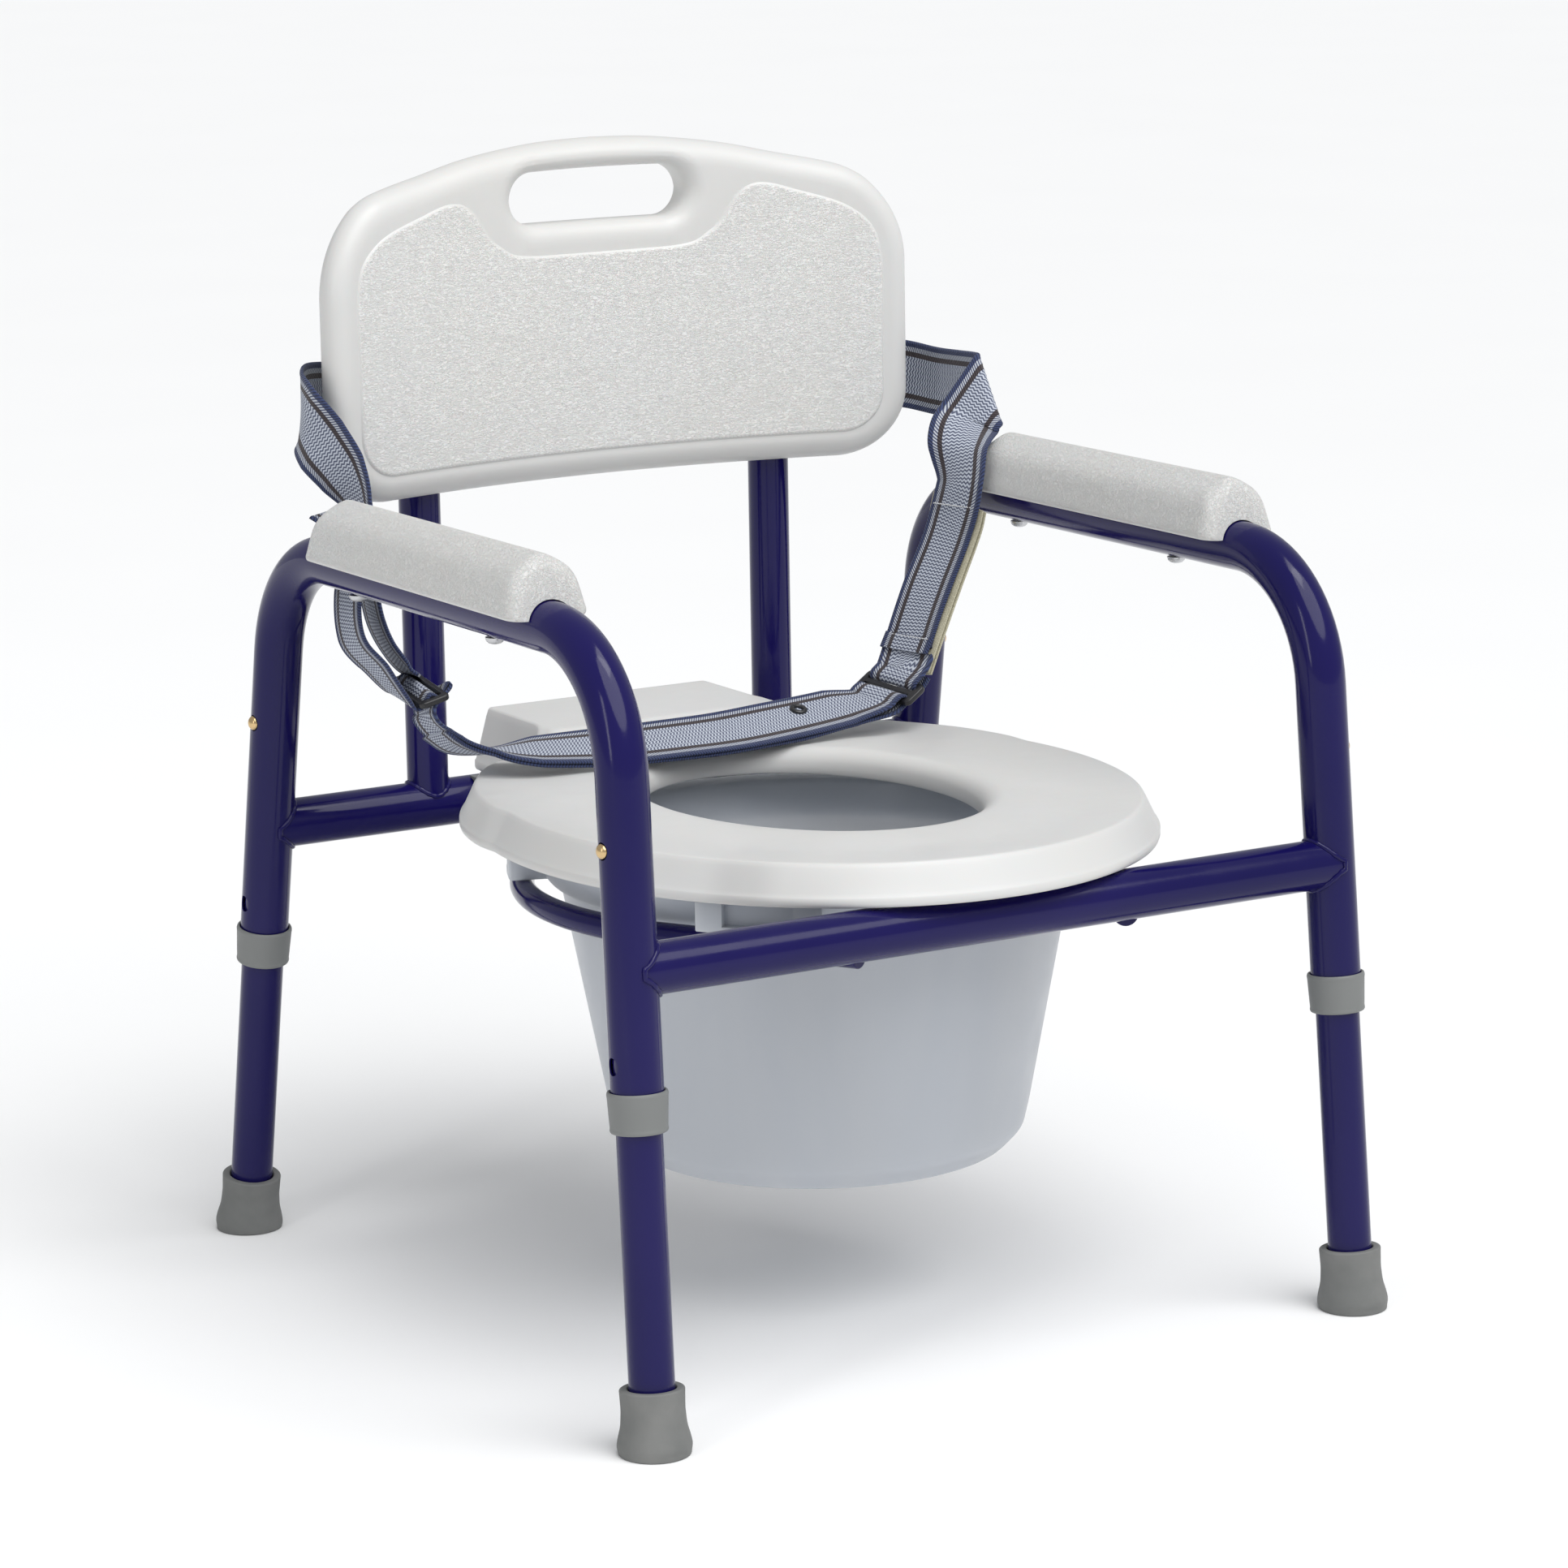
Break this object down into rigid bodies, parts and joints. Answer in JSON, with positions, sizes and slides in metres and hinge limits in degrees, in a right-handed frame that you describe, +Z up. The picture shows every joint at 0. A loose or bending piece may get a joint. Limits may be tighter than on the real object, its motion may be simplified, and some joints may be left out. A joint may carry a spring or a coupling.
{
  "type": "commode chair",
  "caption": "Small bent-tube commode chair with moulded back, arm pads, hinged oval seat over a lift-out pail, webbing strap, and legs that adjust in height by snap buttons.",
  "frame": {"origin": "on the floor, at the middle of the chair's bounding box", "axes": "+Z up; -Y is the front, the way a seated person faces; +X is to the right of a viewer who looks at the front"},
  "size_m": [0.4452, 0.4832, 0.58],
  "materials": {
    "blue_paint": "gloss powder coat",
    "white_plastic": "satin, fine leather grain on the back and arm pads",
    "pail_plastic": "satin, slightly translucent",
    "grey_plastic": "satin",
    "grey_rubber": "matte",
    "brass": "polished",
    "steel": "bright zinc plate",
    "webbing": "woven, navy edges and two dark brown stripes",
    "hook_tape": "hook-and-loop tape",
    "black_plastic": "glossy"
  },
  "bodies": {
    "frame": {"side_frame_left": "blue_paint", "side_frame_right": "blue_paint", "leg_collar_front_left": "grey_plastic", "leg_collar_front_right": "grey_plastic", "leg_collar_rear_left": "grey_plastic", "leg_collar_rear_right": "grey_plastic", "front_crossbar": "blue_paint", "rear_crossbar": "blue_paint", "backrest_post_left": "blue_paint", "backrest_post_right": "blue_paint", "pail_hoop_left": "blue_paint", "pail_hoop_right": "blue_paint", "backrest_panel": "white_plastic", "arm_pad_left": "white_plastic", "arm_pad_screw_left_front": "steel", "arm_pad_screw_left_rear": "steel", "arm_pad_right": "white_plastic", "arm_pad_screw_right_front": "steel", "arm_pad_screw_right_rear": "steel", "backrest_screw_left": "steel", "backrest_screw_right": "steel", "strap_back": "webbing", "strap_left": "webbing", "strap_tail": "webbing", "strap_lap": "webbing", "strap_right": "webbing", "loop_strip": "hook_tape", "hook_strip": "hook_tape", "strap_adjuster": "black_plastic", "strap_buckle": "black_plastic", "strap_eyelet": "black_plastic"},
    "leg_front_left": {"leg_extension_front_left": "blue_paint", "leg_tip_front_left": "grey_rubber", "spring_clip_front_left": "steel"},
    "button_front_left": {"snap_button_front_left": "brass"},
    "leg_front_right": {"leg_extension_front_right": "blue_paint", "leg_tip_front_right": "grey_rubber", "spring_clip_front_right": "steel"},
    "button_front_right": {"snap_button_front_right": "brass"},
    "leg_rear_left": {"leg_extension_rear_left": "blue_paint", "leg_tip_rear_left": "grey_rubber", "spring_clip_rear_left": "steel"},
    "button_rear_left": {"snap_button_rear_left": "brass"},
    "leg_rear_right": {"leg_extension_rear_right": "blue_paint", "leg_tip_rear_right": "grey_rubber", "spring_clip_rear_right": "steel"},
    "button_rear_right": {"snap_button_rear_right": "brass"},
    "seat": {"seat_ring": "white_plastic", "seat_clip_left": "grey_plastic", "seat_clip_right": "grey_plastic"},
    "pail": {"pail": "pail_plastic"}
  },
  "joints": [
    {"name": "leg_front_left_slide", "type": "slide", "parent": "frame", "child": "leg_front_left", "axis": [-0.0125, -0.0764, -0.997], "range_m": [0, 0.1016], "deforming": ["snap_button_front_left"]},
    {"name": "button_front_left_press", "type": "slide", "parent": "leg_front_left", "child": "button_front_left", "axis": [0.9999, -0.001, -0.0124], "range_m": [0, 0.0035], "stiffness_N_per_m": 800, "deforming": ["spring_clip_front_left"]},
    {"name": "leg_front_right_slide", "type": "slide", "parent": "frame", "child": "leg_front_right", "axis": [0.0125, -0.0764, -0.997], "range_m": [0, 0.1016], "deforming": ["snap_button_front_right"]},
    {"name": "button_front_right_press", "type": "slide", "parent": "leg_front_right", "child": "button_front_right", "axis": [-0.9999, -0.001, -0.0124], "range_m": [0, 0.0035], "stiffness_N_per_m": 800, "deforming": ["spring_clip_front_right"]},
    {"name": "leg_rear_left_slide", "type": "slide", "parent": "frame", "child": "leg_rear_left", "axis": [-0.0123, 0.1681, -0.9857], "range_m": [0, 0.1016], "deforming": ["snap_button_rear_left"]},
    {"name": "button_rear_left_press", "type": "slide", "parent": "leg_rear_left", "child": "button_rear_left", "axis": [0.9999, 0.0021, -0.0121], "range_m": [0, 0.0035], "stiffness_N_per_m": 800, "deforming": ["spring_clip_rear_left"]},
    {"name": "leg_rear_right_slide", "type": "slide", "parent": "frame", "child": "leg_rear_right", "axis": [0.0123, 0.1681, -0.9857], "range_m": [0, 0.1016], "deforming": ["snap_button_rear_right"]},
    {"name": "button_rear_right_press", "type": "slide", "parent": "leg_rear_right", "child": "button_rear_right", "axis": [-0.9999, 0.0021, -0.0121], "range_m": [0, 0.0035], "stiffness_N_per_m": 800, "deforming": ["spring_clip_rear_right"]},
    {"name": "seat_hinge", "type": "hinge", "parent": "frame", "child": "seat", "pos_m": [0, 0.1846, 0.2292], "axis": [-1, 0, 0], "range_deg": [0, 50], "deforming": ["strap_left", "strap_tail", "strap_lap", "strap_right", "loop_strip", "hook_strip", "strap_adjuster", "strap_buckle", "strap_eyelet"]},
    {"name": "pail_lift", "type": "slide", "parent": "frame", "child": "pail", "axis": [0, 0, 1], "range_m": [0, 0.012]}
  ]
}
